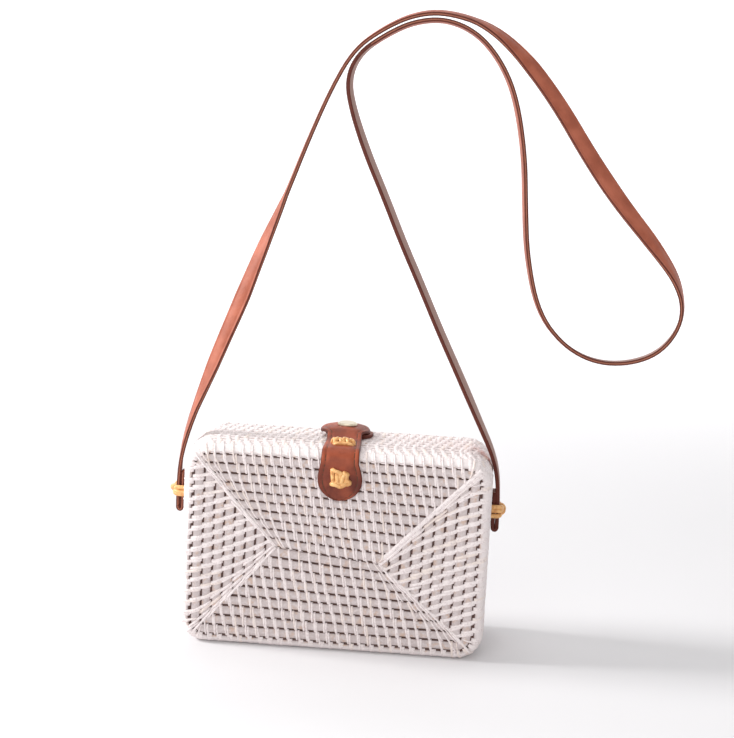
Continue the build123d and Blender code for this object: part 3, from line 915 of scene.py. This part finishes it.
leather_face = half_depth + seat + leather_thickness
front_knot = knot(
    "tab_knot_front_strands", "front", (tab_center + 0.9, -leather_face, 112.2), (1, 0, 0), (0, 0, 1),
    [
        arch(1.3, (-5.2, 5.6), (-4.2, -3.2), 1.0), arch(1.4, (-5.0, 5.4), (2.0, 3.0), 1.2, 0.2),
        arch(1.45, (-2.2, 3.4), (-1.6, -3.0), 1.6), arch(1.4, (-0.4, 3.0), (0.8, -3.0), 1.4),
        arch(1.35, (0.2, -2.8), (2.8, 3.8), 2.0), arch(1.3, (2.2, 4.0), (4.4, 3.0), 1.4),
        arch(1.35, (4.0, 3.4), (3.4, -2.8), 1.4), arch(1.6, (-5.2, -3.4), (5.6, -2.4), 1.6, -1.7),
        arch(1.5, (-4.4, -2.0), (4.8, -3.0), 1.3, 0.4), arch(1.35, (3.4, 0.4), (5.8, -1.8), 1.5),
    ],
)
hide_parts("tab_knot_front")
top_knot = knot(
    "tab_knot_top_strands", "front", (tab_center + 0.2, -20.0, bag_height + seat + leather_thickness),
    (1, 0, 0), (0, 1, 0),
    [
        arch(1.2, (-6.8, 2.6), (-4.6, 0.4), 2.2), arch(1.45, (-5.0, -1.8), (-2.4, 2.8), 2.6),
        arch(1.45, (-3.0, 2.6), (-0.6, -2.2), 2.4), arch(1.5, (-0.2, -1.6), (1.6, 2.8), 2.7),
        arch(1.5, (1.4, 2.6), (3.6, -2.4), 2.5), arch(1.45, (3.6, -1.6), (5.6, 2.4), 2.3),
        arch(1.3, (5.0, 2.2), (6.8, -1.2), 2.0), arch(1.25, (-4.8, -2.8), (6.2, -3.2), 0.9),
    ],
)
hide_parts("tab_knot_top")
for level, height in (("lower", bag_height - 22.0), ("upper", bag_height - 11.0)):
    back_knot = knot(
        f"back_knot_{level}_strands", "back", (tab_center, leather_face, height), (-1, 0, 0), (0, 0, 1),
        [
            arch(1.15, (-4.6, -2.4), (4.6, 2.2), 1.5), arch(1.15, (-4.4, 2.6), (4.8, -2.4), 2.1),
            arch(1.1, (-4.8, -0.2), (4.8, 0.2), 1.1), arch(1.1, (-1.2, 2.4), (1.0, -2.4), 2.3),
        ],
    )
    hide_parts(f"back_knot_{level}")

# The same rattan ties each folded strap end to the side wall, through two holes beside the strap.
strap_ties, tie_height, tie_radius = [], 89.5, 1.5
for side, name, outer, grip in ((-1, "left", left_outer, 3.8), (1, "right", right_outer, 2.6)):
    over = abs(outer) + strap_thickness / 2 - wall_x
    reach = strap_width / 2 + 1.2

    def across_strap(low, high, rise):
        return tie_radius, [
            (-reach, low, -0.6), (-reach - 0.2, low, over * 0.6), (-reach + 0.8, low, over + rise),
            (0, (low + high) / 2, over + rise + 0.7), (reach - 0.8, high, over + rise),
            (reach + 0.2, high, over * 0.6), (reach, high, -0.6),
        ]

    tie = knot(
        f"strap_knot_{name}_strands", "back", (side * wall_x, strap_y, tie_height), (0, side, 0), (0, 0, 1),
        [
            across_strap(-2.9, 2.2, 0.3), across_strap(2.9, -2.1, 0.9), across_strap(0.5, -0.6, 0.7),
            (tie_radius, [(-2.6, -2.2, over), (-2.4, -1.8, over + 2.0), (-0.4, 0.6, over + grip),
                          (2.0, 2.0, over + 2.2), (2.6, 2.4, over)]),
        ],
    )
    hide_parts(f"strap_knot_{name}")
    strap_ties.append(tie)

# The snap and the bottom ties are the frame's own pieces, with a finish: pale brass, and natural rattan.
brass = Finish("pale_brass", 0.32, Metallic=1.0)
brass_noise = brass.noise(brass.place(), 260.0, 4.0)
brass.color(brass.mix(brass_noise, (0.58, 0.50, 0.35), (0.78, 0.72, 0.58)))
brass.rough(0.24 + 0.2 * brass_noise)
for node, finish in (
    ("snap_cap", brass), ("snap_socket", brass), ("snap_stud", brass), ("snap_post", brass),
    ("hinge_tie_1", natural), ("hinge_tie_2", natural), ("hinge_tie_3", natural),
):
    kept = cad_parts[node]
    kept.data.materials.clear()
    kept.data.materials.append(finish.material)
